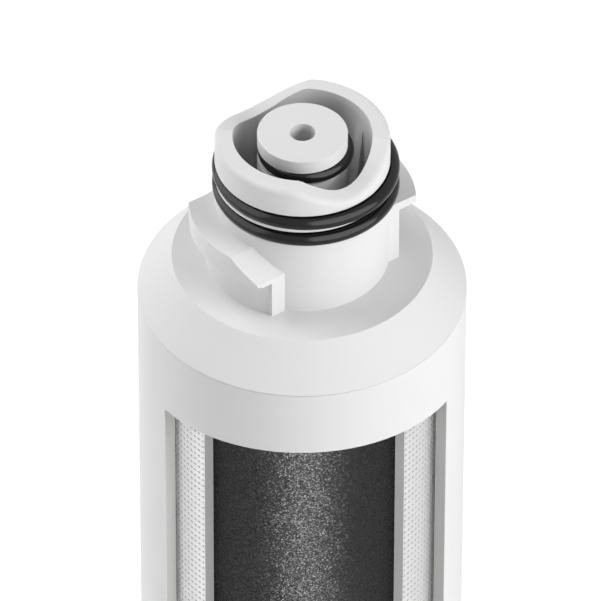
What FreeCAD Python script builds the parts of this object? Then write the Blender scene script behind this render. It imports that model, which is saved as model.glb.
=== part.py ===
import FreeCAD, Part
import math
import os
import Sketcher

# Twist-in water filter cartridge, cut away at the front so that its layers show.
# Millimetres and degrees. The origin is the middle of the base, +Z runs up the
# cartridge's axis and the cut-away faces -Y.

# Driving sizes: name, value, what it sets
driving_sizes = [
    # Housing
    ("housing_radius", 28.0, "outside of the housing and of the shoulder's foot"),
    ("housing_wall", 2.0, "wall of the housing"),
    ("housing_height", 187.9, "base to the weld seam"),
    ("floor_thickness", 3.0, "floor of the housing"),
    ("floor_round", 2.0, "round between wall and floor inside"),
    ("base_round", 4.0, "round of the base's outer edge"),
    ("base_ring_width", 5.0, "flat ring that the cartridge stands on"),
    ("base_recess_depth", 1.0, "depth of the recess under the base"),
    # Cut-away of the housing
    ("window_half_angle", 58.9, "half of the housing's cut-away"),
    ("window_drop", 12.75, "weld seam down to the cut-away at the front"),
    ("window_tilt", 6.4, "slope of the cut-away's upper edge, falling to the back"),
    ("window_foot", 24.0, "base up to the cut-away"),
    # Weld between housing and head cap
    ("seam_gap", 0.2, "height of the fine groove at the weld"),
    ("seam_depth", 0.3, "depth of the fine groove at the weld"),
    ("tongue_length", 5.5, "tongue of the head cap inside the housing"),
    ("tongue_wall", 1.8, "wall of the tongue"),
    ("weld_clearance", 0.1, "tongue to housing"),
    # Shoulder
    ("shoulder_rise", 7.4, "weld seam up to the flat shoulder"),
    ("shoulder_radius", 22.15, "outer edge of the flat shoulder"),
    ("shoulder_wall", 2.5, "wall of the flat shoulder"),
    ("cone_foot_rise", 1.3, "weld seam up to the foot of the inner cone"),
    ("cone_inset", 1.25, "head of the inner cone inside the shoulder's edge"),
    # Neck and collar
    ("neck_radius", 14.8, "outside of neck and collar"),
    ("neck_wall", 3.0, "wall of neck and collar"),
    ("lower_groove_rise", 14.83, "flat shoulder up to the lower seal groove"),
    ("groove_width", 2.96, "width of each seal groove"),
    ("groove_depth", 1.95, "depth of each seal groove"),
    ("land_width", 0.6, "land between the two seal grooves"),
    ("rim_rise", 26.7, "flat shoulder up to the collar's rim"),
    ("rim_round", 0.9, "round of the rim's outer edge"),
    ("wave_depth", 3.75, "depth of the two hollows in the rim"),
    ("wave_turn", 92.8, "lug to the middle of the hollow"),
    ("wave_half_angle", 53.5, "half of a hollow"),
    # Bayonet lugs
    ("head_turn", 32.5, "turn of the head cap, from +X to the first lug"),
    ("lug_half_width", 10.2, "half of a lug's width"),
    ("lug_rise", 12.3, "flat shoulder up to the lug's top"),
    ("lug_floor_rise", 7.9, "flat shoulder up to the lug's outer lower edge"),
    ("lug_reach", 4.45, "neck to the outer face of the lug"),
    ("lug_chamfer", 1.0, "lower outer chamfer of the lug, inwards"),
    ("lug_chamfer_height", 0.5, "lower outer chamfer of the lug, downwards"),
    ("ramp_start", 5.25, "lug's middle to its leading ramp"),
    ("ramp_tip", 0.4, "thickness left at the end of the leading ramp"),
    ("heel_start", 7.2, "lug's middle to the ramp under its trailing end"),
    ("heel_thickness", 1.6, "thickness left at the trailing end"),
    ("apron_reach", 1.6, "neck to the face of the apron that carries the lug"),
    ("post_setback", 1.4, "flat post at the apron's leading end, inside the neck's radius"),
    ("post_start", 8.8, "lug's middle to the post"),
    # Webs inside the head cap
    ("web_count", 4, "webs round the stem"),
    ("web_thickness", 2.0, "thickness of a web"),
    ("web_top_rise", 22.9, "flat shoulder up to a web's top"),
    ("web_taper", 1.4, "how far a web grows inwards below its top"),
    ("web_taper_length", 12.7, "length of that taper"),
    ("guide_rise", 5.0, "flat shoulder up to the stem guide on each web"),
    ("guide_lead", 2.5, "lead-in above the stem guide"),
    ("web_root", 0.4, "how deep a web is rooted in its wall"),
    ("web_drop", 0.9, "how far the webs reach below the tongue, as a way for the water"),
    ("stem_clearance", 0.15, "stem to its guides"),
    ("rest_clearance", 0.1, "end cap to the feet of the webs"),
    # Carbon block and its wraps
    ("block_bore", 8.0, "bore of the carbon block"),
    ("wrap_clearance", 0.05, "wraps to the block"),
    ("sleeve_thickness", 2.15, "thickness of the fleece sleeve"),
    ("sleeve_half_angle", 43.7, "half of the sleeve's cut-away"),
    ("sleeve_turn", 1.2, "how far the sleeve's cut-away is turned to -X"),
    ("sleeve_margin", 1.0, "sleeve's cut-away to the end caps' skirts"),
    ("core_thickness", 0.8, "thickness of the core fleece"),
    ("bond_thickness", 0.8, "hot-melt ring at each end of the block"),
    # End caps
    ("cap_room", 0.5, "end caps to the housing"),
    ("cap_plate", 2.2, "plate of an end cap"),
    ("cap_clearance", 0.1, "skirt to sleeve and spigot to core fleece"),
    ("skirt_wall", 0.8, "wall of an end cap's skirt"),
    ("skirt_length", 4.5, "skirt past the plate"),
    ("spigot_length", 7.0, "spigot in the block's bore"),
    ("foot_count", 6, "feet under the bottom end cap"),
    ("foot_height", 5.0, "height of a foot"),
    ("foot_thickness", 2.0, "thickness of a foot"),
    ("foot_start_room", 1.45, "plug to the inner end of a foot"),
    ("foot_inset", 2.5, "outer end of a foot inside the cap's edge"),
    # Stem of the top end cap
    ("stem_proud", 0.44, "stem's disc above the collar's rim"),
    ("stem_radius", 7.63, "stem and its top disc"),
    ("disc_thickness", 2.58, "top disc of the stem"),
    ("disc_round", 0.12, "round of the top disc's edge"),
    ("stem_groove_width", 2.6, "seal groove under the disc"),
    ("stem_groove_radius", 5.17, "floor of the stem's seal groove"),
    ("outlet_radius", 2.2, "outlet hole in the disc"),
    ("outlet_length", 5.6, "length of the outlet hole"),
    ("stem_core_radius", 4.8, "wider bore of the stem below the outlet hole"),
    ("stem_core_cone", 2.6, "height of the cone between the two bores"),
    # Seals
    ("seal_section", 1.21, "section radius of a neck seal"),
    ("stem_seal_section", 1.19, "section radius of the stem seal"),
    ("seal_clearance", 0.01, "seal to the floor of its groove where it rests"),
    ("seal_shift", 0.58, "how far each loose seal lies over to +X in its groove"),
    ("seal_side_room", 0.18, "neck seal to the lower side of its groove"),
]

# Levels and radii that follow from the driving sizes, as sums and differences
places = {
    "housing_bore": "housing_radius - housing_wall",
    "base_recess_radius": "housing_radius - base_round - base_ring_width",
    "tongue_radius": "housing_bore - weld_clearance",
    "tongue_bore": "tongue_radius - tongue_wall",
    "tongue_foot": "housing_height - tongue_length",
    "seam_radius": "housing_radius - seam_depth",
    "seam_roof": "housing_height + seam_gap",
    "shoulder_level": "housing_height + shoulder_rise",
    "shoulder_underside": "shoulder_level - shoulder_wall",
    "cone_foot": "housing_height + cone_foot_rise",
    "cone_head_radius": "shoulder_radius - cone_inset",
    "neck_bore": "neck_radius - neck_wall",
    "groove_radius": "neck_radius - groove_depth",
    "lower_groove_floor": "shoulder_level + lower_groove_rise",
    "lower_groove_roof": "lower_groove_floor + groove_width",
    "upper_groove_floor": "lower_groove_roof + land_width",
    "upper_groove_roof": "upper_groove_floor + groove_width",
    "rim_level": "shoulder_level + rim_rise",
    "rim_stock_level": "rim_level + wave_depth",
    "lug_radius": "neck_radius + lug_reach",
    "apron_radius": "neck_radius + apron_reach",
    "post_reach": "neck_radius - post_setback",
    "lug_top": "shoulder_level + lug_rise",
    "lug_floor": "shoulder_level + lug_floor_rise",
    "lug_underside": "lug_floor - lug_chamfer_height",
    "ramp_foot": "lug_floor + ramp_tip",
    "heel_roof": "lug_top - heel_thickness",
    "web_top": "shoulder_level + web_top_rise",
    "web_knee": "web_top - web_taper_length",
    "web_knee_radius": "neck_bore - web_taper",
    "guide_radius": "stem_radius + stem_clearance",
    "guide_level": "shoulder_level + guide_rise",
    "web_foot": "tongue_foot - web_drop",
    "cap_roof": "web_foot - rest_clearance",
    "cap_underside": "cap_roof - cap_plate",
    "block_top": "cap_underside - bond_thickness",
    "base_cap_underside": "floor_thickness + foot_height",
    "base_cap_roof": "base_cap_underside + cap_plate",
    "block_foot": "base_cap_roof + bond_thickness",
    "cap_radius": "housing_bore - cap_room",
    "skirt_bore": "cap_radius - skirt_wall",
    "sleeve_radius": "skirt_bore - cap_clearance",
    "sleeve_bore": "sleeve_radius - sleeve_thickness",
    "block_radius": "sleeve_bore - wrap_clearance",
    "core_radius": "block_bore - wrap_clearance",
    "core_bore": "core_radius - core_thickness",
    "spigot_radius": "core_bore - cap_clearance",
    "foot_start": "spigot_radius + foot_start_room",
    "foot_reach": "cap_radius - foot_inset",
    "skirt_foot": "cap_underside - skirt_length",
    "base_skirt_head": "base_cap_roof + skirt_length",
    "stem_top": "rim_level + stem_proud",
    "disc_underside": "stem_top - disc_thickness",
    "stem_groove_floor": "disc_underside - stem_groove_width",
    "outlet_foot": "stem_top - outlet_length",
    "stem_core_head": "outlet_foot - stem_core_cone",
    "spigot_foot": "block_top - spigot_length",
    "plug_head": "block_foot + spigot_length",
    "plug_bore": "spigot_radius - cap_plate",
}

doc = FreeCAD.newDocument("FilterCartridge")

sheet = doc.addObject("Spreadsheet::Sheet", "Sizes")
for row, (name, value, note) in enumerate(driving_sizes, start=1):
    sheet.set(f"A{row}", name)
    sheet.set(f"B{row}", str(value))
    sheet.setAlias(f"B{row}", name)
    sheet.set(f"C{row}", note)
doc.recompute()
size = {name: float(sheet.get(name)) for name, value, note in driving_sizes}


def terms(text, sign=1):
    """The signed driving sizes and numbers that a sum such as 'rim_level + 1' stands for."""
    turn = 1
    for word in text.split():
        if word in "+-":
            turn = 1 if word == "+" else -1
            continue
        if word in places:
            yield from terms(places[word], sign * turn)
        else:
            yield sign * turn, word
        turn = 1


def amount(text):
    """The value of a sum of sizes."""
    return sum(sign * (size[word] if word in size else float(word)) for sign, word in terms(text))


def formula(text):
    """The same sum as an expression on the sheet's cells."""
    parts = [
        ("+ " if sign > 0 else "- ") + (f"Sizes.{word}" if word in size else word)
        for sign, word in terms(text)
    ]
    return "0 " + " ".join(parts)


def bind(thing, **properties):
    """Ties properties of an object to sums of sizes."""
    for name, text in properties.items():
        thing.setExpression(name, formula(text))


def new_body(label):
    body = doc.addObject("PartDesign::Body", label + "_body")
    body.Label = label
    return body


def origin_feature(body, role):
    return next(item for item in body.Origin.OriginFeatures if item.Role == role)


def outline(body, name, plane, corners):
    """A closed straight-sided sketch whose corners are sums of sizes: across, up."""
    sketch = body.newObject("Sketcher::SketchObject", name)
    sketch.AttachmentSupport = [(origin_feature(body, plane), "")]
    sketch.MapMode = "FlatFace"
    points = [FreeCAD.Vector(amount(across), amount(up), 0) for across, up in corners]
    count = len(points)
    for i in range(count):
        sketch.addGeometry(Part.LineSegment(points[i], points[(i + 1) % count]), False)
    for i in range(count):
        sketch.addConstraint(Sketcher.Constraint("Coincident", i, 2, (i + 1) % count, 1))
    for i, (across, up) in enumerate(corners):
        for kind, text, axis in (("DistanceX", across, -2), ("DistanceY", up, -1)):
            place_corner(sketch, i, kind, text, axis)
    return sketch


def place_corner(sketch, corner, kind, text, axis):
    """Holds one corner at a sum of sizes from the sketch's origin, on either side of it."""
    value = amount(text)
    if abs(value) < 1e-9:
        sketch.addConstraint(Sketcher.Constraint("PointOnObject", corner, 1, axis))
        return
    ends = (-1, 1, corner, 1) if value > 0 else (corner, 1, -1, 1)
    index = sketch.addConstraint(Sketcher.Constraint(kind, *ends, abs(value)))
    whole = formula(text) if value > 0 else f"-({formula(text)})"
    sketch.setExpression(f"Constraints[{index}]", whole)


def turned(body, name, corners, cut=False):
    """Turns an outline of radius, height round the axis, as a solid or as a cut."""
    sketch = outline(body, name + "_outline", "XZ_Plane", corners)
    kind = "PartDesign::Groove" if cut else "PartDesign::Revolution"
    feature = body.newObject(kind, name)
    feature.Profile = sketch
    feature.ReferenceAxis = (sketch, ["V_Axis"])
    feature.Angle = 360
    sketch.Visibility = False
    body.Tip = feature
    return feature


def raised(body, name, plane, corners, length, symmetric=False):
    """Extrudes an outline off its plane, or half to each side of it."""
    sketch = outline(body, name + "_outline", plane, corners)
    feature = body.newObject("PartDesign::Pad", name)
    feature.Profile = sketch
    feature.SideType = "Symmetric" if symmetric else "One side"
    bind(feature, Length=length)
    sketch.Visibility = False
    body.Tip = feature
    return feature


def repeated(body, name, features, count):
    """Copies features round the axis. count is a size's name or a number."""
    pattern = body.newObject("PartDesign::PolarPattern", name)
    pattern.Originals = features
    pattern.Axis = (origin_feature(body, "Z_Axis"), [""])
    pattern.Angle = 360
    bind(pattern, Occurrences=count)
    body.Tip = pattern
    return pattern


def rounded(body, name, radius, *rings):
    """Rounds whole circular edges of the body, each given as radius, height."""
    doc.recompute()
    base = body.Tip
    wanted = [(amount(ring_radius), amount(height)) for ring_radius, height in rings]
    names = []
    for number, edge in enumerate(base.Shape.Edges, start=1):
        if not isinstance(edge.Curve, Part.Circle):
            continue
        here = (edge.Curve.Radius, edge.Curve.Center.z)
        if any(math.dist(here, there) < 1e-4 for there in wanted):
            names.append(f"Edge{number}")
    if len(names) < len(rings):
        raise RuntimeError(f"{name}: found {len(names)} of {len(rings)} edges")
    fillet = body.newObject("PartDesign::Fillet", name)
    fillet.Base = (base, names)
    bind(fillet, Radius=radius)
    body.Tip = fillet
    return fillet


def turn_about_axis(thing, degrees):
    thing.Placement = FreeCAD.Placement(
        FreeCAD.Vector(), FreeCAD.Rotation(FreeCAD.Vector(0, 0, 1), degrees)
    )


finished = {}


# Housing: a tube with a floor, and the cut-away as a wedge with a sloping roof
housing_body = new_body("housing_moulding")
turned(
    housing_body,
    "housing_wall_and_floor",
    [
        ("0", "base_recess_depth"),
        ("base_recess_radius", "base_recess_depth"),
        ("base_recess_radius", "0"),
        ("housing_radius", "0"),
        ("housing_radius", "housing_height"),
        ("housing_bore", "housing_height"),
        ("housing_bore", "floor_thickness"),
        ("0", "floor_thickness"),
    ],
)
rounded(housing_body, "housing_base_round", "base_round", ("housing_radius", "0"))
rounded(housing_body, "housing_floor_round", "floor_round", ("housing_bore", "floor_thickness"))

front_direction = -90.0
past = "1"  # how far a cutter reaches past the wall that it cuts

wedge = doc.addObject("Part::Cylinder", "window_wedge")
bind(wedge, Radius=f"housing_radius + {past}")
bind(wedge, Height="housing_height - window_drop - window_foot")
wedge.setExpression("Angle", "2 * Sizes.window_half_angle")
wedge.Placement = FreeCAD.Placement(
    FreeCAD.Vector(0, 0, size["window_foot"]),
    FreeCAD.Rotation(
        FreeCAD.Vector(0, 0, 1), front_direction - size["window_half_angle"]
    ),
)

roof = doc.addObject("Part::Box", "window_roof")
roof.setExpression("Length", "4 * Sizes.housing_radius")
roof.setExpression("Width", "4 * Sizes.housing_radius")
roof.setExpression("Height", "4 * Sizes.housing_radius")
roof.Placement = FreeCAD.Placement(
    FreeCAD.Vector(
        -2 * size["housing_radius"],
        -amount(f"housing_radius + {past}"),
        amount("housing_height - window_drop"),
    ),
    FreeCAD.Rotation(FreeCAD.Vector(1, 0, 0), -size["window_tilt"]),
)

window = doc.addObject("Part::Cut", "window")
window.Base = wedge
window.Tool = roof

housing = doc.addObject("Part::Cut", "housing_cut_away")
housing.Base = housing_body
housing.Tool = window
housing.Label = "housing"
finished["housing"] = housing


# Head cap: shoulder, neck, lugs, collar and webs in one moulding, first lug along +X
head_body = new_body("head_moulding")
turned(
    head_body,
    "head_outside",
    [
        ("0", "tongue_foot"),
        ("tongue_radius", "tongue_foot"),
        ("tongue_radius", "housing_height"),
        ("seam_radius", "housing_height"),
        ("seam_radius", "seam_roof"),
        ("housing_radius", "seam_roof"),
        ("shoulder_radius", "shoulder_level"),
        ("neck_radius", "shoulder_level"),
        ("neck_radius", "lower_groove_floor"),
        ("groove_radius", "lower_groove_floor"),
        ("groove_radius", "lower_groove_roof"),
        ("neck_radius", "lower_groove_roof"),
        ("neck_radius", "upper_groove_floor"),
        ("groove_radius", "upper_groove_floor"),
        ("groove_radius", "upper_groove_roof"),
        ("neck_radius", "upper_groove_roof"),
        ("neck_radius", "rim_stock_level"),
        ("0", "rim_stock_level"),
    ],
)

# Each lug starts as a bar with its side profile, and a turned cut gives it its round face
lug_stock = f"lug_radius + {past}"
past_lug = f"lug_radius + lug_half_width + {past}"
past_top = f"lug_top + {past}"
apron = raised(
    head_body,
    "lug_apron",
    "YZ_Plane",
    [
        ("- lug_half_width", "shoulder_level"),
        ("lug_half_width", "shoulder_level"),
        ("lug_half_width", "ramp_foot"),
        ("ramp_start", "lug_top"),
        ("- lug_half_width", "lug_top"),
    ],
    lug_stock,
)
repeated(head_body, "lug_aprons", [apron], "2")
turned(
    head_body,
    "apron_face",
    [
        ("apron_radius", "shoulder_level"),
        (past_lug, "shoulder_level"),
        (past_lug, past_top),
        ("apron_radius", past_top),
    ],
    cut=True,
)
flange = raised(
    head_body,
    "lug_flange",
    "YZ_Plane",
    [
        ("- lug_half_width", "heel_roof"),
        ("- heel_start", "lug_underside"),
        ("lug_half_width", "lug_underside"),
        ("lug_half_width", "ramp_foot"),
        ("ramp_start", "lug_top"),
        ("- lug_half_width", "lug_top"),
    ],
    lug_stock,
)
post = raised(
    head_body,
    "lug_post",
    "YZ_Plane",
    [
        ("post_start", "shoulder_level"),
        ("lug_half_width", "shoulder_level"),
        ("lug_half_width", "lug_floor"),
        ("post_start", "lug_floor"),
    ],
    "post_reach",
)
repeated(head_body, "lug_flanges_and_posts", [flange, post], "2")
turned(
    head_body,
    "lug_face",
    [
        ("lug_radius", "lug_floor"),
        ("lug_radius", past_top),
        (past_lug, past_top),
        (past_lug, "lug_underside"),
        ("lug_radius - lug_chamfer", "lug_underside"),
    ],
    cut=True,
)
turned(
    head_body,
    "head_inside",
    [
        ("0", "tongue_foot"),
        ("tongue_bore", "tongue_foot"),
        ("tongue_bore", "cone_foot"),
        ("cone_head_radius", "shoulder_underside"),
        ("neck_bore", "shoulder_underside"),
        ("neck_bore", "rim_stock_level"),
        ("0", "rim_stock_level"),
    ],
    cut=True,
)
web = raised(
    head_body,
    "web",
    "XZ_Plane",
    [
        ("neck_bore + web_root", "web_top"),
        ("neck_bore", "web_top"),
        ("web_knee_radius", "web_knee"),
        ("web_knee_radius", "guide_level"),
        ("guide_radius", "guide_level - guide_lead"),
        ("guide_radius", "web_foot"),
        ("tongue_bore - web_drop", "web_foot"),
        ("tongue_bore", "tongue_foot"),
        ("tongue_bore + web_root", "tongue_foot"),
        ("tongue_bore + web_root", "cone_foot"),
        ("cone_head_radius + web_root", "shoulder_underside + web_root"),
        ("neck_bore + web_root", "shoulder_underside + web_root"),
    ],
    "web_thickness",
    symmetric=True,
)
repeated(head_body, "webs", [web], "web_count")


def rim_height(angle):
    """Height of the rim at an angle from the first lug: level, with two cosine-shaped hollows."""
    from_middle = abs((angle - size["wave_turn"] + 90.0) % 180.0 - 90.0)
    share = min(from_middle / size["wave_half_angle"], 1.0)
    return amount("rim_level") - size["wave_depth"] * (1.0 + math.cos(math.pi * share)) / 2.0


def rim_curve(radius):
    """A closed curve on a cylinder that follows the rim's height."""
    step = 5.0
    angles = [step * i for i in range(int(360.0 / step))]
    points = [
        FreeCAD.Vector(
            radius * math.cos(math.radians(a)), radius * math.sin(math.radians(a)), rim_height(a)
        )
        for a in angles
    ]
    curve = Part.BSplineCurve()
    curve.interpolate(points, PeriodicFlag=True)
    return curve.toShape()


# The rim's wave is a ruled face between two such curves, raised into a cutter
doc.recompute()
wave_face = Part.makeRuledSurface(
    rim_curve(amount(f"neck_bore - {past}")), rim_curve(amount(f"neck_radius + {past}"))
)
wave_cutter = doc.addObject("Part::Feature", "rim_wave")
cutter_height = 3.0 * size["wave_depth"]
wave_cutter.Shape = wave_face.extrude(FreeCAD.Vector(0, 0, cutter_height))

waved = doc.addObject("Part::Cut", "head_with_waved_rim")
waved.Base = head_body
waved.Tool = wave_cutter
doc.recompute()


def rim_outer_edges(shape):
    """Numbers of the edges where the rim meets the collar's outside."""
    lowest = amount("upper_groove_roof + 0.2")
    numbers = []
    for number, edge in enumerate(shape.Edges, start=1):
        first, last = edge.ParameterRange
        points = [edge.valueAt(first + (last - first) * share) for share in (0.1, 0.5, 0.9)]
        on_collar = all(
            abs(math.hypot(p.x, p.y) - size["neck_radius"]) < 1e-3 for p in points
        )
        moves_round = math.dist(points[0][:2], points[2][:2]) > 1e-3
        if on_collar and moves_round and min(p.z for p in points) > lowest:
            numbers.append(number)
    return numbers


head = doc.addObject("Part::Fillet", "head_rounded")
head.Base = waved
head.Edges = [
    (number, size["rim_round"], size["rim_round"]) for number in rim_outer_edges(waved.Shape)
]
head.Label = "head_cap"
turn_about_axis(head, size["head_turn"])
finished["head_cap"] = head


# Seals. Each lies loose in its groove, against the floor on its -X side and proud on +X.
def seal(name, groove_floor, ring_radius, section, room):
    ring = doc.addObject("Part::Torus", name + "_ring")
    ring.Label = name
    bind(ring, Radius1=f"{ring_radius} + seal_clearance + seal_shift + {section}", Radius2=section)
    ring.setExpression("Placement.Base.x", formula("seal_shift"))
    ring.setExpression("Placement.Base.z", formula(f"{groove_floor} + {room} + {section}"))
    finished[name] = ring


seal("neck_seal_upper", "upper_groove_floor", "groove_radius", "seal_section", "seal_side_room")
seal("neck_seal_lower", "lower_groove_floor", "groove_radius", "seal_section", "seal_side_room")
seal(
    "stem_seal",
    "stem_groove_floor",
    "stem_groove_radius",
    "stem_seal_section",
    "stem_groove_width - stem_seal_section - stem_seal_section - seal_clearance",
)


# Top end cap, whose stem carries the outlet up through the neck
top_cap = new_body("top_end_cap")
turned(
    top_cap,
    "top_cap_profile",
    [
        ("outlet_radius", "stem_top"),
        ("stem_radius", "stem_top"),
        ("stem_radius", "disc_underside"),
        ("stem_groove_radius", "disc_underside"),
        ("stem_groove_radius", "stem_groove_floor"),
        ("stem_radius", "stem_groove_floor"),
        ("stem_radius", "cap_roof"),
        ("cap_radius", "cap_roof"),
        ("cap_radius", "skirt_foot"),
        ("skirt_bore", "skirt_foot"),
        ("skirt_bore", "cap_underside"),
        ("spigot_radius", "cap_underside"),
        ("spigot_radius", "spigot_foot"),
        ("stem_core_radius", "spigot_foot"),
        ("stem_core_radius", "stem_core_head"),
        ("outlet_radius", "outlet_foot"),
    ],
)
rounded(top_cap, "disc_edge", "disc_round", ("stem_radius", "stem_top"))
finished["top_end_cap"] = top_cap


# Bottom end cap: plate, skirt, hollow plug and feet
base_cap = new_body("bottom_end_cap")
turned(
    base_cap,
    "base_cap_profile",
    [
        ("plug_bore", "base_cap_underside"),
        ("cap_radius", "base_cap_underside"),
        ("cap_radius", "base_skirt_head"),
        ("skirt_bore", "base_skirt_head"),
        ("skirt_bore", "base_cap_roof"),
        ("spigot_radius", "base_cap_roof"),
        ("spigot_radius", "plug_head"),
        ("0", "plug_head"),
        ("0", "plug_head - cap_plate"),
        ("plug_bore", "plug_head - cap_plate"),
    ],
)
foot = raised(
    base_cap,
    "foot",
    "XZ_Plane",
    [
        ("foot_start", "floor_thickness"),
        ("foot_reach", "floor_thickness"),
        ("foot_reach", "base_cap_underside + web_root"),
        ("foot_start", "base_cap_underside + web_root"),
    ],
    "foot_thickness",
    symmetric=True,
)
repeated(base_cap, "feet", [foot], "foot_count")
finished["bottom_end_cap"] = base_cap


# Block, wraps and hot-melt rings are plain rings between two levels
def ring_part(name, inner, outer, foot_level, head_level):
    body = new_body(name)
    corners = [
        (inner, foot_level),
        (outer, foot_level),
        (outer, head_level),
        (inner, head_level),
    ]
    turned(body, name + "_ring", corners)
    finished[name] = body
    return body


ring_part("carbon_block", "block_bore", "block_radius", "block_foot", "block_top")
ring_part("core_fleece", "core_bore", "core_radius", "block_foot", "block_top")
ring_part("top_bond_ring", "block_bore", "sleeve_radius", "block_top", "cap_underside")
ring_part("bottom_bond_ring", "block_bore", "sleeve_radius", "base_cap_roof", "block_foot")

# The sleeve's own cut-away is narrower than the housing's
sleeve = ring_part("fleece_sleeve", "sleeve_bore", "sleeve_radius", "block_foot", "block_top")
sleeve_window = turned(
    sleeve,
    "sleeve_cut_away",
    [
        (f"sleeve_bore - {past}", "base_skirt_head + sleeve_margin"),
        (f"sleeve_radius + {past}", "base_skirt_head + sleeve_margin"),
        (f"sleeve_radius + {past}", "skirt_foot - sleeve_margin"),
        (f"sleeve_bore - {past}", "skirt_foot - sleeve_margin"),
    ],
    cut=True,
)
sleeve_window.Midplane = True
sleeve_window.setExpression("Angle", "2 * Sizes.sleeve_half_angle")
turn_about_axis(sleeve, front_direction - size["sleeve_turn"])

doc.recompute()

for thing in doc.Objects:
    if {"Invalid", "Error"} & set(thing.State):
        raise RuntimeError(f"{thing.Name} failed: {thing.State}")
for name, thing in finished.items():
    if thing.Shape.isNull() or not thing.Shape.isValid() or len(thing.Shape.Solids) != 1:
        raise RuntimeError(f"{name} is not one valid solid")

os.makedirs("parts", exist_ok=True)
for name, thing in finished.items():
    thing.Shape.exportStep(f"parts/{name}.step")
    print(f"{name}: {thing.Shape.Volume / 1000:.2f} cubic centimetres")
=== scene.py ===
import math

import bmesh
import bpy
from mathutils import Matrix, Vector


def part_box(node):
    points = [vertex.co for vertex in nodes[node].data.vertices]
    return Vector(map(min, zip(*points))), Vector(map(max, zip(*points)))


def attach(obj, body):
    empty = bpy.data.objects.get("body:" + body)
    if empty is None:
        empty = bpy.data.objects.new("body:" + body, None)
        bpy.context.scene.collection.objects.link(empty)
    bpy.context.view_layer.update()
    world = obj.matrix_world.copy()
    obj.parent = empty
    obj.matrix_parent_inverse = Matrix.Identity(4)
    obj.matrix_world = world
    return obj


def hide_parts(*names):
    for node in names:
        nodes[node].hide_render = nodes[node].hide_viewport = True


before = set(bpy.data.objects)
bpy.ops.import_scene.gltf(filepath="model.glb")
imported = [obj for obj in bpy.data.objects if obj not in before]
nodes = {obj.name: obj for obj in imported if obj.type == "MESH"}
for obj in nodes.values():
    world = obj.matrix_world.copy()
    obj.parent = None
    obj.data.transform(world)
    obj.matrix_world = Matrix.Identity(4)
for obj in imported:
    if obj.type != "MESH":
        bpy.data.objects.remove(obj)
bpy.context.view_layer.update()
millimetre = 0.001
print("Frame loaded:", len(nodes), "CAD nodes")


# The camera stands where the photograph was taken from, looking down at the neck.
# Lengths in millimetres from the middle of the weld seam, angles in degrees.
cameraSettings = {
    "azimuth": 267.3,  # direction from the cartridge to the camera
    "elevation": 42.036,
    "distance": 1750,
    "sideways": -0.265,
    "height": -3.457,
    "roll": 0.134,
    "focalLength": 615.6,
    "sensorWidth": 36.0,
    "clip": (0.05, 50.0),  # nearest and furthest that it sees, in metres
}
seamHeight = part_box("housing")[1].z


def directionFromSeam(azimuth, elevation):  # angles in radians
    return Vector((
        math.cos(azimuth) * math.cos(elevation),
        math.sin(azimuth) * math.cos(elevation),
        math.sin(elevation),
    ))


def makeCamera(settings):
    azimuth = math.radians(settings["azimuth"])
    back = directionFromSeam(azimuth, math.radians(settings["elevation"]))
    level = Vector((-math.sin(azimuth), math.cos(azimuth), 0.0))
    right = Matrix.Rotation(math.radians(settings["roll"]), 3, back) @ level
    up = back.cross(right)
    data = bpy.data.cameras.new("photoCamera")
    data.lens = settings["focalLength"]
    data.sensor_width = settings["sensorWidth"]
    data.clip_start, data.clip_end = settings["clip"]
    camera = bpy.data.objects.new("photoCamera", data)
    turn = Matrix((right, up, back)).transposed().to_4x4()
    place = back * settings["distance"] + level * settings["sideways"]
    place += Vector((0.0, 0.0, settings["height"]))
    turn.translation = place * millimetre + Vector((0.0, 0.0, seamHeight))
    camera.matrix_world = turn
    bpy.context.scene.collection.objects.link(camera)
    bpy.context.scene.camera = camera


makeCamera(cameraSettings)
bpy.context.scene.view_settings.view_transform = "Standard"
print("Camera in place")


# Helpers for colours and node trees
def fromHex(text):  # an sRGB hex colour as linear RGBA
    channels = [int(text[i:i + 2], 16) / 255.0 for i in (1, 3, 5)]
    linear = [c / 12.92 if c <= 0.04045 else ((c + 0.055) / 1.055) ** 2.4 for c in channels]
    return (*linear, 1.0)


def shaded(colour, share):
    return (*(c * share for c in colour[:3]), 1.0)


# A node with its settings, and with a link or a value for each input that is named
def addNode(tree, kind, settings=None, inputs=None):
    node = tree.nodes.new(kind)
    for key, value in (settings or {}).items():
        setattr(node, key, value)
    for key, value in (inputs or {}).items():
        if isinstance(value, bpy.types.NodeSocket):
            tree.links.new(value, node.inputs[key])
        else:
            node.inputs[key].default_value = value
    return node


def newMaterial(name, constants):
    material = bpy.data.materials.new(name)
    material.use_nodes = True
    shader = material.node_tree.nodes["Principled BSDF"]
    for key, value in constants.items():
        shader.inputs[key].default_value = value
    return material, material.node_tree, shader


def objectPlace(tree):
    return addNode(tree, "ShaderNodeTexCoord").outputs["Object"]


def distanceFromAxis(tree, place):
    flat = addNode(tree, "ShaderNodeVectorMath", {"operation": "MULTIPLY"},
                   {0: place, 1: (1.0, 1.0, 0.0)})
    length = addNode(tree, "ShaderNodeVectorMath", {"operation": "LENGTH"}, {0: flat.outputs[0]})
    return length.outputs["Value"]


# Polypropylene, injection moulded in a finely spark-eroded tool: white and satin, with a faint
# unevenness that only shows in the gloss. Where the housing is cut open, the saw leaves the same
# plastic a little greyer, with fine scores along the wall.
polypropyleneSettings = {
    "colour": "#D4D4D4",
    "roughness": 0.75,
    "ior": 1.49,
    "grain": 0.5,  # mm, coarser than the real 0.05 mm so that it shows
    "grainDepth": 0.004,  # mm
    "drift": 60.0,  # per metre, so the white wanders over about 17 mm
    "driftShade": 0.015,  # how far it wanders
    "cutColour": "#BABAB9",
    "cutBand": (26.04, 27.94),  # mm from the axis, inside both skins of the housing's wall
    "scoreSpacing": 0.35,  # mm
    "scoreShade": 0.93,  # of the cut's colour
}


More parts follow.
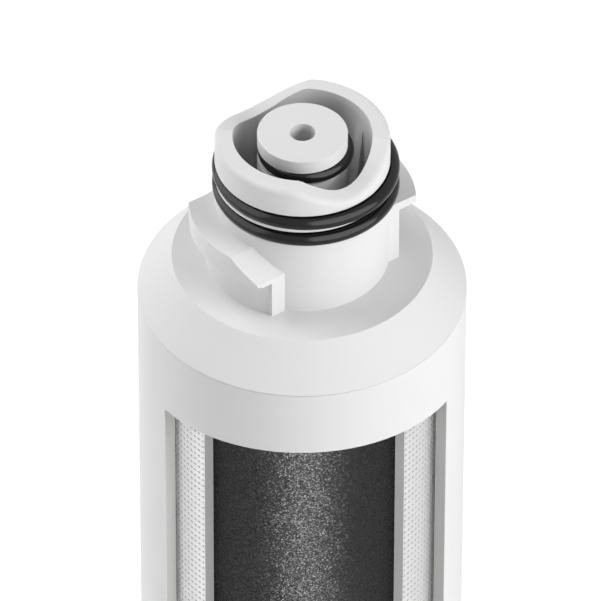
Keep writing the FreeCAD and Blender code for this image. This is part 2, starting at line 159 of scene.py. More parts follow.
def mouldedPolypropylene(name, settings, sawn=False):
    material, tree, shader = newMaterial(name, {
        "Base Color": fromHex(settings["colour"]),
        "Roughness": settings["roughness"],
        "IOR": settings["ior"],
    })
    place = objectPlace(tree)
    drift = addNode(tree, "ShaderNodeTexNoise", None,
                    {"Vector": place, "Scale": settings["drift"], "Detail": 2.0})
    white = fromHex(settings["colour"])
    tint = addNode(tree, "ShaderNodeMix", {"data_type": "RGBA"}, {
        "Factor": drift.outputs["Fac"],
        "A": shaded(white, 1.0 - settings["driftShade"]),
        "B": shaded(white, 1.0 + settings["driftShade"]),
    })
    colour = tint.outputs["Result"]
    grain = addNode(tree, "ShaderNodeTexNoise", None, {
        "Vector": place, "Scale": 1.0 / (settings["grain"] * millimetre), "Detail": 3.0,
    })
    bump = addNode(tree, "ShaderNodeBump", None, {
        "Strength": 1.0, "Distance": settings["grainDepth"] * millimetre,
        "Height": grain.outputs["Fac"],
    })
    if sawn:
        inner, outer = (edge * millimetre for edge in settings["cutBand"])
        radius = distanceFromAxis(tree, place)
        past = addNode(tree, "ShaderNodeMath", {"operation": "GREATER_THAN"}, {0: radius, 1: inner})
        under = addNode(tree, "ShaderNodeMath", {"operation": "LESS_THAN"}, {0: radius, 1: outer})
        cut = addNode(tree, "ShaderNodeMath", {"operation": "MULTIPLY"},
                      {0: past.outputs[0], 1: under.outputs[0]})
        scores = addNode(tree, "ShaderNodeTexNoise", {"noise_dimensions": "1D"}, {
            "W": radius, "Scale": 1.0 / (settings["scoreSpacing"] * millimetre), "Detail": 2.0,
        })
        grey = fromHex(settings["cutColour"])
        dark = shaded(grey, settings["scoreShade"])
        scored = addNode(tree, "ShaderNodeMix", {"data_type": "RGBA"},
                         {"Factor": scores.outputs["Fac"], "A": dark, "B": grey})
        both = addNode(tree, "ShaderNodeMix", {"data_type": "RGBA"},
                       {"Factor": cut.outputs[0], "A": colour, "B": scored.outputs["Result"]})
        colour = both.outputs["Result"]
    tree.links.new(colour, shader.inputs["Base Color"])
    tree.links.new(bump.outputs[0], shader.inputs["Normal"])
    return material


# Nitrile rubber, moulded and lightly greased: black, with a soft wide gloss
rubberSettings = {
    "colour": "#0E0E0E",
    "bloomColour": "#181818",  # where the grease is thin
    "bloom": 260.0,  # per metre, so its patches are about 4 mm wide
    "roughness": 0.16,
    "ior": 1.52,
    "specular": 0.22,
    "grain": 0.6,  # mm
    "grainDepth": 0.012,  # mm
}


def mouldedRubber(name, settings):
    material, tree, shader = newMaterial(name, {
        "Roughness": settings["roughness"],
        "IOR": settings["ior"],
        "Specular IOR Level": settings["specular"],
    })
    place = objectPlace(tree)
    bloom = addNode(tree, "ShaderNodeTexNoise", None,
                    {"Vector": place, "Scale": settings["bloom"], "Detail": 4.0})
    tint = addNode(tree, "ShaderNodeMix", {"data_type": "RGBA"}, {
        "Factor": bloom.outputs["Fac"],
        "A": fromHex(settings["colour"]), "B": fromHex(settings["bloomColour"]),
    })
    grain = addNode(tree, "ShaderNodeTexNoise", None, {
        "Vector": place, "Scale": 1.0 / (settings["grain"] * millimetre), "Detail": 2.0,
    })
    bump = addNode(tree, "ShaderNodeBump", None, {
        "Strength": 1.0, "Distance": settings["grainDepth"] * millimetre,
        "Height": grain.outputs["Fac"],
    })
    tree.links.new(tint.outputs["Result"], shader.inputs["Base Color"])
    tree.links.new(bump.outputs[0], shader.inputs["Normal"])
    return material


# Activated carbon powder pressed with a binder: near black and matt, with small facets that
# stand at all angles and catch the light as grains
carbonSettings = {
    "colour": "#141414",
    "paleGrain": "#383838",
    "roughness": 0.4,
    "ior": 1.6,
    "specular": 0.1,
    "grain": 0.2,  # mm, coarser than the real powder so that it shows
    "rarity": 3.0,  # the higher, the fewer grains are pale
    "facetTilt": (0.34, 0.34, 0.7),  # spread of the facets' lean along X, Y and Z
}


def pressedCarbon(name, settings):
    material, tree, shader = newMaterial(name, {
        "Roughness": settings["roughness"],
        "IOR": settings["ior"],
        "Specular IOR Level": settings["specular"],
    })
    cells = addNode(tree, "ShaderNodeTexVoronoi", None, {
        "Vector": objectPlace(tree), "Scale": 1.0 / (settings["grain"] * millimetre),
    })
    shade = addNode(tree, "ShaderNodeSeparateXYZ", None, {0: cells.outputs["Color"]})
    rare = addNode(tree, "ShaderNodeMath", {"operation": "POWER"},
                   {0: shade.outputs[0], 1: settings["rarity"]})
    tint = addNode(tree, "ShaderNodeMix", {"data_type": "RGBA"}, {
        "Factor": rare.outputs[0],
        "A": fromHex(settings["colour"]), "B": fromHex(settings["paleGrain"]),
    })
    centred = addNode(tree, "ShaderNodeVectorMath", {"operation": "SUBTRACT"},
                      {0: cells.outputs["Color"], 1: (0.5, 0.5, 0.5)})
    tilt = addNode(tree, "ShaderNodeVectorMath", {"operation": "MULTIPLY"},
                   {0: centred.outputs[0], 1: settings["facetTilt"]})
    surface = addNode(tree, "ShaderNodeNewGeometry")
    leaning = addNode(tree, "ShaderNodeVectorMath", None,
                      {0: surface.outputs["Normal"], 1: tilt.outputs[0]})
    facet = addNode(tree, "ShaderNodeVectorMath", {"operation": "NORMALIZE"},
                    {0: leaning.outputs[0]})
    tree.links.new(tint.outputs["Result"], shader.inputs["Base Color"])
    tree.links.new(facet.outputs[0], shader.inputs["Normal"])
    return material


# Polypropylene fleece, spun and point-bonded: soft white felt whose bonded points are pressed in
# and greyer.
# A point's colour darkens with its depth, partly the grey of the bond and partly painted shade in
# the pit.
# The cut through its layers is dense and grey.
fleeceSettings = {
    "colour": "#D9D9D9",
    # the bond's grey and painted shade in the pit, in one colour
    "pointGreyAndShade": "#303030",
    "cutColour": "#A3A3A3",
    "roughness": 0.92,
    "ior": 1.49,
    "sheen": 0.15,
    "fibre": 0.35,  # mm, coarser than the real fibres so that it shows
    "fibreDepth": 0.02,  # mm
    "fibreShade": 0.94,  # of the white
    "pointShade": (0.25, 0.8),  # shares of a point's depth between which its colour comes in
    "layerShade": 0.93,  # of the cut's colour
}


# Where the fleece has points, surface is the level they are pressed from, in mm from the axis
def bondedFleece(name, settings, surface=None, pointDepth=None):
    material, tree, shader = newMaterial(name, {
        "Roughness": settings["roughness"],
        "IOR": settings["ior"],
        "Sheen Weight": settings["sheen"],
    })
    place = objectPlace(tree)
    fibres = addNode(tree, "ShaderNodeTexNoise", None, {
        "Vector": place, "Scale": 1.0 / (settings["fibre"] * millimetre), "Detail": 3.0,
    })
    white = fromHex(settings["colour"])
    dim = shaded(white, settings["fibreShade"])
    tint = addNode(tree, "ShaderNodeMix", {"data_type": "RGBA"},
                   {"Factor": fibres.outputs["Fac"], "A": dim, "B": white})
    colour = tint.outputs["Result"]
    if surface:
        # A point darkens with its depth: the grey of the bond and painted shade in the pit
        pale, full = settings["pointShade"]
        sunk = addNode(tree, "ShaderNodeMapRange", None, {
            "Value": distanceFromAxis(tree, place),
            "From Min": (surface - pale * pointDepth) * millimetre,
            "From Max": (surface - full * pointDepth) * millimetre,
        })
        points = addNode(tree, "ShaderNodeMix", {"data_type": "RGBA"}, {
            "Factor": sunk.outputs["Result"], "A": colour, "B": fromHex(settings["pointGreyAndShade"]),
        })
        colour = points.outputs["Result"]
    bump = addNode(tree, "ShaderNodeBump", None, {
        "Strength": 1.0, "Distance": settings["fibreDepth"] * millimetre,
        "Height": fibres.outputs["Fac"],
    })
    tree.links.new(colour, shader.inputs["Base Color"])
    tree.links.new(bump.outputs[0], shader.inputs["Normal"])
    return material


def cutFleece(name, settings):
    material, tree, shader = newMaterial(name, {
        "Roughness": settings["roughness"],
        "IOR": settings["ior"],
    })
    place = objectPlace(tree)
    layers = addNode(tree, "ShaderNodeTexNoise", {"noise_dimensions": "1D"}, {
        "W": distanceFromAxis(tree, place),
        "Scale": 1.0 / (settings["fibre"] * millimetre), "Detail": 2.0,
    })
    grey = fromHex(settings["cutColour"])
    dark = shaded(grey, settings["layerShade"])
    tint = addNode(tree, "ShaderNodeMix", {"data_type": "RGBA"},
                   {"Factor": layers.outputs["Fac"], "A": dark, "B": grey})
    tree.links.new(tint.outputs["Result"], shader.inputs["Base Color"])
    return material


# Hot-melt adhesive: off-white, a little see-through and smooth as it set
meltSettings = {
    "colour": "#DCD6C6",
    "roughness": 0.3,
    "ior": 1.48,
    "clearness": 0.2,
    "lightReach": 1.5,  # mm that light goes into it
    "ripple": 1.5,  # mm
    "rippleDepth": 0.03,  # mm
}


def hotMelt(name, settings):
    material, tree, shader = newMaterial(name, {
        "Base Color": fromHex(settings["colour"]),
        "Roughness": settings["roughness"],
        "IOR": settings["ior"],
        "Subsurface Weight": settings["clearness"],
        "Subsurface Scale": settings["lightReach"] * millimetre,
    })
    ripple = addNode(tree, "ShaderNodeTexNoise", None, {
        "Vector": objectPlace(tree), "Scale": 1.0 / (settings["ripple"] * millimetre),
    })
    bump = addNode(tree, "ShaderNodeBump", None, {
        "Strength": 1.0, "Distance": settings["rippleDepth"] * millimetre,
        "Height": ripple.outputs["Fac"],
    })
    tree.links.new(bump.outputs[0], shader.inputs["Normal"])
    return material


whitePolypropylene = mouldedPolypropylene("mouldedWhitePolypropylene", polypropyleneSettings)
housingPolypropylene = mouldedPolypropylene(
    "mouldedAndSawnPolypropylene", polypropyleneSettings, sawn=True)
blackRubber = mouldedRubber("mouldedNitrileRubber", rubberSettings)
blackCarbon = pressedCarbon("pressedActivatedCarbon", carbonSettings)
whiteFleece = bondedFleece("spunFleece", fleeceSettings)
layeredFleece = cutFleece("cutFleece", fleeceSettings)
meltedGlue = hotMelt("hotMeltAdhesive", meltSettings)

finishes = {
    "housing": housingPolypropylene,
    "head_cap": whitePolypropylene,
    "neck_seal_upper": blackRubber,
    "neck_seal_lower": blackRubber,
    "stem_seal": blackRubber,
    "top_end_cap": whitePolypropylene,
    "bottom_end_cap": whitePolypropylene,
    "core_fleece": whiteFleece,
    "top_bond_ring": meltedGlue,
    "bottom_bond_ring": meltedGlue,
}
for name, material in finishes.items():
    nodes[name].data.materials.clear()
    nodes[name].data.materials.append(material)
print("Finishes on", len(finishes), "CAD nodes")


# Panels made by Geometry Nodes. Each is laid out flat, with x round the cartridge, y up it and z
# out of it, and then wrapped round the axis.
def newPanelTree(name, inputs):
    tree = bpy.data.node_groups.new(name, "GeometryNodeTree")
    for label, kind in inputs.items():
        tree.interface.new_socket(label, in_out="INPUT", socket_type=kind)
    tree.interface.new_socket("Geometry", in_out="OUTPUT", socket_type="NodeSocketGeometry")
    return tree, addNode(tree, "NodeGroupInput").outputs


def wrapAndFinish(tree, panel, given):
    place = addNode(tree, "GeometryNodeInputPosition")
    flat = addNode(tree, "ShaderNodeSeparateXYZ", None, {0: place.outputs[0]})
    turn = addNode(tree, "ShaderNodeMath", {"operation": "DIVIDE"},
                   {0: flat.outputs[0], 1: given["Radius"]})
    angle = addNode(tree, "ShaderNodeMath", None, {0: turn.outputs[0], 1: given["Start Angle"]})
    reach = addNode(tree, "ShaderNodeMath", None, {0: flat.outputs[2], 1: given["Radius"]})
    across = addNode(tree, "ShaderNodeMath", {"operation": "COSINE"}, {0: angle.outputs[0]})
    along = addNode(tree, "ShaderNodeMath", {"operation": "SINE"}, {0: angle.outputs[0]})
    x = addNode(tree, "ShaderNodeMath", {"operation": "MULTIPLY"},
                {0: across.outputs[0], 1: reach.outputs[0]})
    y = addNode(tree, "ShaderNodeMath", {"operation": "MULTIPLY"},
                {0: along.outputs[0], 1: reach.outputs[0]})
    z = addNode(tree, "ShaderNodeMath", None, {0: flat.outputs[1], 1: given["Foot"]})
    wrapped = addNode(tree, "ShaderNodeCombineXYZ", None,
                      {0: x.outputs[0], 1: y.outputs[0], 2: z.outputs[0]})
    moved = addNode(tree, "GeometryNodeSetPosition", None,
                    {"Geometry": panel, "Position": wrapped.outputs[0]})
    whole = addNode(tree, "GeometryNodeRealizeInstances", None, {"Geometry": moved.outputs[0]})
    dressed = addNode(tree, "GeometryNodeSetMaterial", None,
                      {"Geometry": whole.outputs[0], "Material": given["Material"]})
    addNode(tree, "NodeGroupOutput", None, {"Geometry": dressed.outputs[0]})


def runTree(tree, values):
    maker = bpy.data.objects.new("maker", bpy.data.meshes.new("maker"))
    bpy.context.scene.collection.objects.link(maker)
    modifier = maker.modifiers.new("panel", "NODES")
    modifier.node_group = tree
    for socket in tree.interface.items_tree:
        if socket.in_out == "INPUT":
            modifier[socket.identifier] = values[socket.name]
    evaluated = maker.evaluated_get(bpy.context.evaluated_depsgraph_get())
    mesh = bpy.data.meshes.new_from_object(evaluated)
    bpy.data.objects.remove(maker)
    return mesh


def dimpleTree():
    tree, given = newPanelTree("bondedPoints", {
        "Columns": "NodeSocketInt", "Rows": "NodeSocketInt",
        "Block Width": "NodeSocketFloat", "Block Height": "NodeSocketFloat",
        "Radius": "NodeSocketFloat", "Start Angle": "NodeSocketFloat", "Foot": "NodeSocketFloat",
        "Least Press": "NodeSocketFloat", "Full Press": "NodeSocketFloat",
        "Merge Distance": "NodeSocketFloat", "Seed": "NodeSocketInt",
        "Dimple": "NodeSocketObject", "Pillow": "NodeSocketObject",
        "Material": "NodeSocketMaterial",
    })
    lastColumn = addNode(tree, "ShaderNodeMath", {"operation": "SUBTRACT"},
                         {0: given["Columns"], 1: 1.0})
    lastRow = addNode(tree, "ShaderNodeMath", {"operation": "SUBTRACT"},
                      {0: given["Rows"], 1: 1.0})
    width = addNode(tree, "ShaderNodeMath", {"operation": "MULTIPLY"},
                    {0: lastColumn.outputs[0], 1: given["Block Width"]})
    height = addNode(tree, "ShaderNodeMath", {"operation": "MULTIPLY"},
                     {0: lastRow.outputs[0], 1: given["Block Height"]})
    grid = addNode(tree, "GeometryNodeMeshGrid", None, {
        "Size X": width.outputs[0], "Size Y": height.outputs[0],
        "Vertices X": given["Columns"], "Vertices Y": given["Rows"],
    })
    # The grid is centred on the panel's corner, so it moves by half the panel
    wholeX = addNode(tree, "ShaderNodeMath", {"operation": "MULTIPLY"},
                     {0: given["Columns"], 1: given["Block Width"]})
    wholeY = addNode(tree, "ShaderNodeMath", {"operation": "MULTIPLY"},
                     {0: given["Rows"], 1: given["Block Height"]})
    corner = addNode(tree, "ShaderNodeCombineXYZ", None,
                     {0: wholeX.outputs[0], 1: wholeY.outputs[0]})
    middle = addNode(tree, "ShaderNodeVectorMath", {"operation": "SCALE"},
                     {0: corner.outputs[0], "Scale": 0.5})
    placed = addNode(tree, "GeometryNodeTransform", None,
                     {"Geometry": grid.outputs["Mesh"], "Translation": middle.outputs[0]})
    # Level rows of points and of pillows take turns up the panel
    index = addNode(tree, "GeometryNodeInputIndex")
    rowNumber = addNode(tree, "ShaderNodeMath", {"operation": "MODULO"},
                        {0: index.outputs[0], 1: given["Rows"]})
    isPillow = addNode(tree, "ShaderNodeMath", {"operation": "MODULO"},
                       {0: rowNumber.outputs[0], 1: 2.0})
    isDimple = addNode(tree, "ShaderNodeMath", {"operation": "SUBTRACT"},
                       {0: 1.0, 1: isPillow.outputs[0]})
    press = addNode(tree, "FunctionNodeRandomValue", None,
                    {2: given["Least Press"], 3: given["Full Press"], "Seed": given["Seed"]})
    depth = addNode(tree, "ShaderNodeCombineXYZ", None, {0: 1.0, 1: 1.0, 2: press.outputs[1]})
    dimple = addNode(tree, "GeometryNodeObjectInfo", None, {"Object": given["Dimple"]})
    pillow = addNode(tree, "GeometryNodeObjectInfo", None, {"Object": given["Pillow"]})
    dimples = addNode(tree, "GeometryNodeInstanceOnPoints", None, {
        "Points": placed.outputs[0], "Selection": isDimple.outputs[0],
        "Instance": dimple.outputs["Geometry"], "Scale": depth.outputs[0],
    })
    pillows = addNode(tree, "GeometryNodeInstanceOnPoints", None, {
        "Points": placed.outputs[0], "Selection": isPillow.outputs[0],
        "Instance": pillow.outputs["Geometry"],
    })
    joined = addNode(tree, "GeometryNodeJoinGeometry")
    tree.links.new(dimples.outputs[0], joined.inputs[0])
    tree.links.new(pillows.outputs[0], joined.inputs[0])
    real = addNode(tree, "GeometryNodeRealizeInstances", None, {"Geometry": joined.outputs[0]})
    merged = addNode(tree, "GeometryNodeMergeByDistance", None,
                     {"Geometry": real.outputs[0], "Distance": given["Merge Distance"]})
    wrapAndFinish(tree, merged.outputs[0], given)
    return tree


def grainTree():
    tree, given = newPanelTree("pressedGrains", {
        "Columns": "NodeSocketInt", "Rows": "NodeSocketInt",
        "Width": "NodeSocketFloat", "Height": "NodeSocketFloat",
        "Radius": "NodeSocketFloat", "Start Angle": "NodeSocketFloat", "Foot": "NodeSocketFloat",
        "Grain": "NodeSocketFloat", "Grain Height": "NodeSocketFloat", "Seed": "NodeSocketFloat",
        "Material": "NodeSocketMaterial",
    })
    across = addNode(tree, "ShaderNodeMath", None, {0: given["Columns"], 1: 1.0})
    up = addNode(tree, "ShaderNodeMath", None, {0: given["Rows"], 1: 1.0})
    grid = addNode(tree, "GeometryNodeMeshGrid", None, {
        "Size X": given["Width"], "Size Y": given["Height"],
        "Vertices X": across.outputs[0], "Vertices Y": up.outputs[0],
    })
    corner = addNode(tree, "ShaderNodeCombineXYZ", None, {0: given["Width"], 1: given["Height"]})
    middle = addNode(tree, "ShaderNodeVectorMath", {"operation": "SCALE"},
                     {0: corner.outputs[0], "Scale": 0.5})
    placed = addNode(tree, "GeometryNodeTransform", None,
                     {"Geometry": grid.outputs["Mesh"], "Translation": middle.outputs[0]})
    # The panel stays level along its edges, where it joins the plain wall
    place = addNode(tree, "GeometryNodeInputPosition")
    scale = addNode(tree, "ShaderNodeMath", {"operation": "DIVIDE"}, {0: 1.0, 1: given["Grain"]})
    noise = addNode(tree, "ShaderNodeTexNoise", {"noise_dimensions": "4D"}, {
        "Vector": place.outputs[0], "W": given["Seed"], "Scale": scale.outputs[0], "Detail": 1.0,
    })
    edge = addNode(tree, "GeometryNodeInputMeshEdgeNeighbors")
    rim = addNode(tree, "FunctionNodeCompare", {"data_type": "INT", "operation": "EQUAL"},
                  {2: edge.outputs[0], 3: 1})  # an edge with one face
    onRim = addNode(tree, "GeometryNodeFieldOnDomain", {"data_type": "FLOAT", "domain": "EDGE"},
                    {0: rim.outputs[0]})
    inside = addNode(tree, "ShaderNodeMath", {"operation": "LESS_THAN"},
                     {0: onRim.outputs[0], 1: 0.01})  # no edge of the corner is on the rim
    depth = addNode(tree, "ShaderNodeMath", {"operation": "MULTIPLY"},
                    {0: noise.outputs["Fac"], 1: given["Grain Height"]})
    kept = addNode(tree, "ShaderNodeMath", {"operation": "MULTIPLY"},
                   {0: depth.outputs[0], 1: inside.outputs[0]})
    inward = addNode(tree, "ShaderNodeMath", {"operation": "MULTIPLY"},
                     {0: kept.outputs[0], 1: -1.0})
    offset = addNode(tree, "ShaderNodeCombineXYZ", None, {2: inward.outputs[0]})
    grained = addNode(tree, "GeometryNodeSetPosition", None,
                      {"Geometry": placed.outputs[0], "Offset": offset.outputs[0]})
    wrapAndFinish(tree, grained.outputs[0], given)
    return tree


# A closed ring of columns, each with the angle where it starts and its kind. A panel column
# leaves room for a panel in the outer wall, and an open one is cut away right through.
def ringShell(mesh, radius, bore, levels, columns, rows):
    foot, panelFoot, panelHead, head = levels
    angles = [angle for angle, kind in columns]
    kinds = [kind for angle, kind in columns]
    count = len(columns)

    def corner(index, reach, level):
        angle = math.radians(angles[index % count])
        x, y = reach * math.cos(angle), reach * math.sin(angle)
        return mesh.verts.new((x * millimetre, y * millimetre, level * millimetre))

    outer = [[corner(i, radius, level) for level in levels] for i in range(count)]
    inner = [[corner(i, bore, level) for level in levels] for i in range(count)]
    edges = []
    for i in range(count):
        steps = []
        if "panel" in (kinds[i], kinds[i - 1]):
            rise = (panelHead - panelFoot) / rows
            steps = [corner(i, radius, panelFoot + rise * step) for step in range(1, rows)]
        edges.append([outer[i][1], *steps, outer[i][2]])

    smooth, flat = [], []
    for i in range(count):
        j = (i + 1) % count
        for low, high in ((0, 1), (2, 3)):
            smooth.append((outer[i][low], outer[j][low], outer[j][high], outer[i][high]))
            smooth.append((inner[j][low], inner[i][low], inner[i][high], inner[j][high]))
        flat.append((outer[j][0], outer[i][0], inner[i][0], inner[j][0]))
        flat.append((outer[i][3], outer[j][3], inner[j][3], inner[i][3]))
        if kinds[i] == "open":
            flat.append((outer[i][1], outer[j][1], inner[j][1], inner[i][1]))
            flat.append((outer[j][2], outer[i][2], inner[i][2], inner[j][2]))
        else:
            smooth.append((inner[j][1], inner[i][1], inner[i][2], inner[j][2]))
        if kinds[i] == "plain":
            smooth.append((*edges[j], *reversed(edges[i])))
        if "open" in (kinds[i], kinds[i - 1]) and kinds[i] != kinds[i - 1]:
            flat.append((*edges[i], inner[i][2], inner[i][1]))
    for loop in smooth:
        mesh.faces.new(loop).smooth = True
    for loop in flat:
        mesh.faces.new(loop).material_index = 1


def dividedArc(start, end, step, kind):
    parts = max(1, round((end - start) / step))
    return [(start + (end - start) * i / parts, kind) for i in range(parts)]


def openEdgeCount(mesh):
    return sum(1 for edge in mesh.edges if len(edge.link_faces) != 2)


mergeDistance = 0.002  # mm, corners of ring and panel that are nearer become one


# Ring and panels become one closed mesh, smooth but for its cut faces in the second material
def finishRing(name, replaced, mesh, panels, materials):
    for panel in panels:
        panel.polygons.foreach_set("material_index", [0] * len(panel.polygons))
        mesh.from_mesh(panel)
    for face in mesh.faces:
        if face.material_index == 0:
            face.smooth = True
    bmesh.ops.remove_doubles(mesh, verts=mesh.verts, dist=mergeDistance * millimetre)
    bmesh.ops.recalc_face_normals(mesh, faces=mesh.faces)
    for edge in mesh.edges:
        edge.smooth = all(face.material_index == 0 for face in edge.link_faces)
    openEdges = openEdgeCount(mesh)
    data = bpy.data.meshes.new(name)
    mesh.to_mesh(data)
    mesh.free()
    for material in materials:
        data.materials.append(material)
    piece = bpy.data.objects.new(name, data)
    bpy.context.scene.collection.objects.link(piece)
    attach(piece, "root")
    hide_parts(replaced)
    print(f"{name}: {len(data.polygons)} faces, {openEdges} open edges")


def meshObject(name, verts, faces):  # corners in mm
    mesh = bpy.data.meshes.new(name)
    mesh.from_pydata([tuple(c * millimetre for c in vert) for vert in verts], [], faces)
    made = bpy.data.objects.new(name, mesh)
    bpy.context.scene.collection.objects.link(made)
    return made


# Fleece sleeve: embossed beside its cut-away, plain behind, where the housing hides it.
# Lengths in millimetres, angles in degrees.
sleeveSettings = {
    "radius": 24.6,
    "bore": 22.45,
    "cutDirection": -91.2,  # middle of the sleeve's cut-away
    "cutHalfAngle": 43.7,
    "cutFoot": 15.7,
    "cutHead": 173.7,
    "blockWidth": 0.975,  # spacing between bonded points round the sleeve
    "blocksUp": 245,  # rows of points and of pillows between foot and head of the cut-away
    "blocksRound": 10,  # columns on each side of the cut-away, as far as they show
    "plainStep": 6.0,
    "pointSides": 8,  # two for each corner of a block
    "pointRim": (0.37, 0.25),  # reach of a point's rim round the sleeve and up it
    "pointFloor": (0.31, 0.19),
    "pointDepth": 0.34,
    "press": (0.55, 1.0),  # least and full depth of a point, as shares of pointDepth
    "pillow": 0.05,  # height between the points
    "mergeDistance": 0.005,
    "seed": 7,
}
pointedFleece = bondedFleece(
    "pointBondedFleece", fleeceSettings, sleeveSettings["radius"], sleeveSettings["pointDepth"])


def makeFleeceSleeve(settings):
    width = settings["blockWidth"]
    height = (settings["cutHead"] - settings["cutFoot"]) / settings["blocksUp"]
    x, y = width / 2.0, height / 2.0
    corners = [(x, y, 0.0), (-x, y, 0.0), (-x, -y, 0.0), (x, -y, 0.0)]
    sides = settings["pointSides"]
    ring = [(math.cos(math.tau * i / sides), math.sin(math.tau * i / sides)) for i in range(sides)]
    (rimX, rimY), (floorX, floorY) = settings["pointRim"], settings["pointFloor"]
    rim = [(rimX * c, rimY * s, 0.0) for c, s in ring]
    floor = [(floorX * c, floorY * s, -settings["pointDepth"]) for c, s in ring]
    first, below = len(corners), len(corners) + sides
    faces = []
    for quarter in range(4):  # from each corner of the block to the point's rim
        near = first + 2 * quarter
        far = first + (2 * quarter + 2) % sides
        faces.append((quarter, near + 1, near))
        faces.append((quarter, far, near + 1))
        faces.append((quarter, (quarter + 1) % 4, far))
    for i in range(sides):
        j = (i + 1) % sides
        faces.append((first + i, first + j, below + j, below + i))
    faces.append(tuple(range(below, below + sides)))
    dimple = meshObject("dimpleBlock", corners + rim + floor, faces)
    pillow = meshObject("pillowBlock", corners + [(0.0, 0.0, settings["pillow"])],
                        [(0, 1, 4), (1, 2, 4), (2, 3, 4), (3, 0, 4)])

    radius = settings["radius"]
    step = math.degrees(width / radius)
    span = step * settings["blocksRound"]
    rightEdge = settings["cutDirection"] + settings["cutHalfAngle"]
    leftEdge = settings["cutDirection"] - settings["cutHalfAngle"] + 360.0
    leastPress, fullPress = settings["press"]
    tree = dimpleTree()
    panels = []
    for start in (rightEdge, leftEdge - span):
        panels.append(runTree(tree, {
            "Columns": settings["blocksRound"], "Rows": settings["blocksUp"],
            "Block Width": width * millimetre, "Block Height": height * millimetre,
            "Radius": radius * millimetre, "Start Angle": math.radians(start),
            "Foot": settings["cutFoot"] * millimetre,
            "Least Press": leastPress, "Full Press": fullPress,
            "Merge Distance": settings["mergeDistance"] * millimetre, "Seed": settings["seed"],
            "Dimple": dimple, "Pillow": pillow, "Material": pointedFleece,
        }))
    bpy.data.objects.remove(dimple)
    bpy.data.objects.remove(pillow)

    columns = [(rightEdge + step * i, "panel") for i in range(settings["blocksRound"])]
    columns += dividedArc(rightEdge + span, leftEdge - span, settings["plainStep"], "plain")
    columns += [(leftEdge - span + step * i, "panel") for i in range(settings["blocksRound"])]
    columns += dividedArc(leftEdge, rightEdge + 360.0, settings["plainStep"], "open")
    low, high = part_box("fleece_sleeve")
    levels = (low.z / millimetre, settings["cutFoot"], settings["cutHead"], high.z / millimetre)
    mesh = bmesh.new()
    ringShell(mesh, radius, settings["bore"], levels, columns, settings["blocksUp"])
    finishRing("embossed_fleece_sleeve", "fleece_sleeve", mesh, panels,
               [pointedFleece, layeredFleece])


makeFleeceSleeve(sleeveSettings)


# Carbon block: uneven in front, where the cut-away shows it.
# Lengths in millimetres, angles in degrees.
blockSettings = {
    "radius": 22.4,
    "bore": 8.0,
    "panelFoot": 15.7,
    "panelHead": 173.7,
    "panelDirection": -91.2,
    "panelHalfAngle": 46.0,
    "panelColumns": 104,
    "panelRows": 440,
    "plainStep": 5.0,
    "grain": 0.55,  # width of the humps and pits of the pressed surface
    "grainHeight": 0.07,
    "seed": 3,
}


def makeCarbonBlock(settings):
    start = settings["panelDirection"] - settings["panelHalfAngle"]
    end = settings["panelDirection"] + settings["panelHalfAngle"]
    step = (end - start) / settings["panelColumns"]
    panel = runTree(grainTree(), {
        "Columns": settings["panelColumns"], "Rows": settings["panelRows"],
        "Width": math.radians(end - start) * settings["radius"] * millimetre,
        "Height": (settings["panelHead"] - settings["panelFoot"]) * millimetre,
        "Radius": settings["radius"] * millimetre, "Start Angle": math.radians(start),
        "Foot": settings["panelFoot"] * millimetre,
        "Grain": settings["grain"] * millimetre,
        "Grain Height": settings["grainHeight"] * millimetre,
        "Seed": settings["seed"], "Material": blackCarbon,
    })
    columns = [(start + step * i, "panel") for i in range(settings["panelColumns"])]
    columns += dividedArc(end, start + 360.0, settings["plainStep"], "plain")
    low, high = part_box("carbon_block")
    levels = (low.z / millimetre, settings["panelFoot"], settings["panelHead"], high.z / millimetre)
    mesh = bmesh.new()
    ringShell(mesh, settings["radius"], settings["bore"], levels, columns, settings["panelRows"])
    finishRing("pressed_carbon_block", "carbon_block", mesh, [panel],
               [blackCarbon, blackCarbon])


makeCarbonBlock(blockSettings)


# Bead of melted plastic that nearly fills the groove of the weld between housing and head cap.
# Lengths in millimetres.
beadSettings = {
    "radius": 27.845,  # middle of its section
    "level": 188.0,
    "halfWidth": 0.14,
    "halfHeight": 0.098,
    "sides": 10,
    "steps": 240,
}


def makeWeldBead(settings):
    steps, sides = settings["steps"], settings["sides"]
    verts, faces = [], []
    for i in range(steps):
        turn, j = math.tau * i / steps, (i + 1) % steps
        for k in range(sides):
            lean, n = math.tau * k / sides, (k + 1) % sides
            radius = settings["radius"] + settings["halfWidth"] * math.cos(lean)
            height = settings["level"] + settings["halfHeight"] * math.sin(lean)
            verts.append((radius * math.cos(turn), radius * math.sin(turn), height))
            faces.append((i * sides + k, j * sides + k, j * sides + n, i * sides + n))
    bead = meshObject("weld_bead", verts, faces)
    bead.data.materials.append(whitePolypropylene)
    bead.data.shade_smooth()
    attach(bead, "root")
    print("weld_bead:", len(faces), "faces")


makeWeldBead(beadSettings)


# Head cap whose rim follows the photograph: its two hollows have straight flanks and crisp upper
# edges, where the solid's are cosine-shaped. Heights in mm over the base, angles in degrees from
# the middle of the solid's hollow.
rimSettings = {
    "middle": 125.3,  # azimuth of a hollow's middle
    "level": 222.0,
    "foot": 216.75,  # the collar is as the solid's below this
    "bore": 11.75,
    "solidDepth": 3.75,
    "solidHalfAngle": 53.5,
    "fallStart": -40.0,  # at the bore
    "fallSpread": -1.2,  # degrees per mm outwards
    "fallSlope": -0.118,  # mm per degree
    "riseEnd": 47.0,
    "riseSlope": 0.0972,
    "bottomRound": 4.1,  # mm of height over which the two flanks blend
    "edgeRound": 0.25,
    "mergeDistance": 0.0001,  # mm
    "slopeStep": 0.01,  # mm, for measuring how the shape leans
}


def solidRim(phase, settings):
    share = min(abs(phase) / settings["solidHalfAngle"], 1.0)
    return settings["level"] - settings["solidDepth"] * (1.0 + math.cos(math.pi * share)) / 2.0


